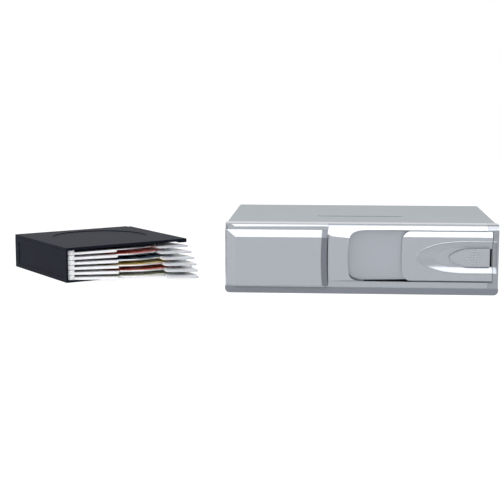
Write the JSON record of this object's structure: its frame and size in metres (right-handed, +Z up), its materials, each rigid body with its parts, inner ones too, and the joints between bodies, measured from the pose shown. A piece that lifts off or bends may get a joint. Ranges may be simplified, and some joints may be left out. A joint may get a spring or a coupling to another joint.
{
  "type": "car disc changer",
  "caption": "Slim silver car disc changer: flat steel case, sliding front door with a scooped thumb recess, and a black hinged-tray disc magazine fanned open beside it.",
  "frame": {"origin": "centre of the changer's flat base", "axes": "+Z up, +X to the viewer's right along the front, front face towards -Y"},
  "size_m": [0.4967, 0.2309, 0.0664],
  "materials": {
    "painted_steel": "satin grey paint",
    "silver_plastic": "silver painted ABS",
    "dark_plastic": "dark grey ABS",
    "trim_plastic": "mid grey ABS",
    "black_plastic": "black moulded ABS",
    "white_plastic": "white moulded ABS",
    "bare_steel": "zinc plated sheet",
    "polished_rod": "ground steel",
    "motor_can": "drawn steel can",
    "rubber": "soft black",
    "circuit_board": "green laminate",
    "lens_glass": "coated lens",
    "spring_steel": "spring wire",
    "screw_steel": "blackened steel",
    "white_disc": "printed polycarbonate",
    "red_disc": "printed polycarbonate",
    "navy_disc": "printed polycarbonate",
    "yellow_disc": "printed polycarbonate",
    "brown_disc": "printed polycarbonate",
    "cream_disc": "printed polycarbonate"
  },
  "bodies": {
    "changer": {"chassis_base": "bare_steel", "top_cover": "painted_steel", "case_screws": "screw_steel", "lower_trim": "trim_plastic", "front_bezel": "silver_plastic", "left_panel": "silver_plastic", "accent_strip": "dark_plastic", "end_cap": "silver_plastic", "door_track": "black_plastic", "bay_fascia": "black_plastic", "bay_tray": "bare_steel", "bay_lid": "bare_steel", "pusher_spring": "spring_steel", "main_board": "circuit_board", "rear_socket": "black_plastic", "mech_frame": "bare_steel", "rubber_dampers": "rubber", "guide_posts": "polished_rod", "lift_motor": "motor_can"},
    "door": {"sliding_door": "silver_plastic", "grip_spring": "spring_steel"},
    "grip": {"thumb_grip": "silver_plastic"},
    "shutter": {"inner_shutter": "silver_plastic"},
    "roller": {"shutter_roller": "rubber"},
    "left_dial": {"angle_dial_left": "black_plastic"},
    "right_dial": {"angle_dial_right": "black_plastic"},
    "pusher": {"magazine_pusher": "black_plastic"},
    "eject": {"eject_key": "dark_plastic"},
    "cam": {"cam_slide": "white_plastic"},
    "lift_gear": {"lift_pinion": "white_plastic"},
    "deck": {"play_deck": "bare_steel", "spindle_motor": "motor_can", "guide_rods": "polished_rod", "sled_motor": "motor_can", "clamp_pin": "polished_rod"},
    "platter": {"turntable": "black_plastic"},
    "sled": {"pickup_sled": "black_plastic", "pickup_lens": "lens_glass"},
    "screw": {"lead_screw": "polished_rod"},
    "clamp": {"clamp_arm": "bare_steel"},
    "puck": {"clamp_disc": "black_plastic"},
    "lever": {"tray_lever": "white_plastic"},
    "magazine": {"magazine_case": "black_plastic", "magazine_lid": "black_plastic", "magazine_pin": "polished_rod"},
    "tray_set_1": {"tray_1": "white_plastic", "disc_1": "white_disc"},
    "tray_set_2": {"tray_2": "white_plastic", "disc_2": "red_disc"},
    "tray_set_3": {"tray_3": "white_plastic", "disc_3": "navy_disc"},
    "tray_set_4": {"tray_4": "white_plastic", "disc_4": "yellow_disc"},
    "tray_set_5": {"tray_5": "white_plastic", "disc_5": "brown_disc"},
    "tray_set_6": {"tray_6": "white_plastic", "disc_6": "cream_disc"}
  },
  "joints": [
    {"name": "door_slide", "type": "slide", "parent": "changer", "child": "door", "axis": [-1, 0, 0], "range_m": [0, 0.14]},
    {"name": "grip_press", "type": "slide", "parent": "door", "child": "grip", "axis": [0, 1, 0], "range_m": [0, 0.001], "stiffness_N_per_m": 150},
    {"name": "shutter_slide", "type": "slide", "parent": "changer", "child": "shutter", "axis": [-1, 0, 0], "range_m": [0, 0.07]},
    {"name": "roller_spin", "type": "hinge", "parent": "shutter", "child": "roller", "pos_m": [0.0444, -0.0806, 0.0612], "axis": [0, 0, -1], "range_deg": [0, 2510]},
    {"name": "left_dial_turn", "type": "hinge", "parent": "changer", "child": "left_dial", "pos_m": [-0.1285, 0.075, 0.033], "axis": [-1, 0, 0], "range_deg": [0, 90]},
    {"name": "right_dial_turn", "type": "hinge", "parent": "changer", "child": "right_dial", "pos_m": [0.1285, 0.075, 0.033], "axis": [1, 0, 0], "range_deg": [0, 90]},
    {"name": "pusher_slide", "type": "slide", "parent": "changer", "child": "pusher", "axis": [0, -1, 0], "range_m": [0, 0.02]},
    {"name": "eject_press", "type": "slide", "parent": "changer", "child": "eject", "axis": [0, 1, 0], "range_m": [0, 0.0015], "stiffness_N_per_m": 150},
    {"name": "deck_lift", "type": "slide", "parent": "changer", "child": "deck", "axis": [0, 0, 1], "range_m": [0, 0.025]},
    {"name": "cam_travel", "type": "slide", "parent": "changer", "child": "cam", "axis": [0, -1, 0], "range_m": [0, 0.04]},
    {"name": "gear_turn", "type": "hinge", "parent": "changer", "child": "lift_gear", "pos_m": [-0.1246, 0, 0.0082], "axis": [1, 0, 0], "range_deg": [0, 637]},
    {"name": "platter_spin", "type": "hinge", "parent": "deck", "child": "platter", "pos_m": [-0.05176, 0.00279, 0.027], "axis": [0, 0, 1], "continuous": true},
    {"name": "sled_travel", "type": "slide", "parent": "deck", "child": "sled", "axis": [-0.342, -0.9397, 0], "range_m": [0, 0.026]},
    {"name": "screw_turn", "type": "hinge", "parent": "deck", "child": "screw", "pos_m": [-0.078, -0.01958, 0.031], "axis": [-0.342, -0.9397, 0], "range_deg": [0, 4682]},
    {"name": "clamp_close", "type": "hinge", "parent": "deck", "child": "clamp", "pos_m": [-0.05176, 0.077, 0.018], "axis": [-1, 0, 0], "range_deg": [0, 3.4]},
    {"name": "puck_spin", "type": "hinge", "parent": "clamp", "child": "puck", "pos_m": [-0.05176, 0.00279, 0.018], "axis": [0, 0, 1], "continuous": true},
    {"name": "lever_swing", "type": "hinge", "parent": "deck", "child": "lever", "pos_m": [-0.048, -0.048, 0.032], "axis": [0, 0, 1], "range_deg": [0, 60]},
    {"name": "magazine_lift", "type": "slide", "parent": "changer", "child": "magazine", "axis": [0, 0, 1], "range_m": [0, 0.12]},
    {"name": "tray_1_swing", "type": "hinge", "parent": "magazine", "child": "tray_set_1", "pos_m": [-0.28832, -0.0356, 0.028], "axis": [0, 0, -1], "range_deg": [-5, 73]},
    {"name": "tray_2_swing", "type": "hinge", "parent": "magazine", "child": "tray_set_2", "pos_m": [-0.28832, -0.0356, 0.023], "axis": [0, 0, -1], "range_deg": [-9.6, 68.4]},
    {"name": "tray_3_swing", "type": "hinge", "parent": "magazine", "child": "tray_set_3", "pos_m": [-0.28832, -0.0356, 0.018], "axis": [0, 0, -1], "range_deg": [-14.2, 63.8]},
    {"name": "tray_4_swing", "type": "hinge", "parent": "magazine", "child": "tray_set_4", "pos_m": [-0.28832, -0.0356, 0.013], "axis": [0, 0, -1], "range_deg": [-18.8, 59.2]},
    {"name": "tray_5_swing", "type": "hinge", "parent": "magazine", "child": "tray_set_5", "pos_m": [-0.28832, -0.0356, 0.008], "axis": [0, 0, -1], "range_deg": [-23.4, 54.6]},
    {"name": "tray_6_swing", "type": "hinge", "parent": "magazine", "child": "tray_set_6", "pos_m": [-0.28832, -0.0356, 0.003], "axis": [0, 0, -1], "range_deg": [-28, 50]}
  ],
  "couplings": [
    {"joint": "shutter_slide", "follows": "door_slide", "ratio": 0.5},
    {"joint": "roller_spin", "follows": "door_slide", "rad_per_m": 312.5},
    {"joint": "cam_travel", "follows": "deck_lift", "ratio": 1.6},
    {"joint": "gear_turn", "follows": "deck_lift", "rad_per_m": 444.44},
    {"joint": "screw_turn", "follows": "sled_travel", "rad_per_m": 3141.6}
  ]
}
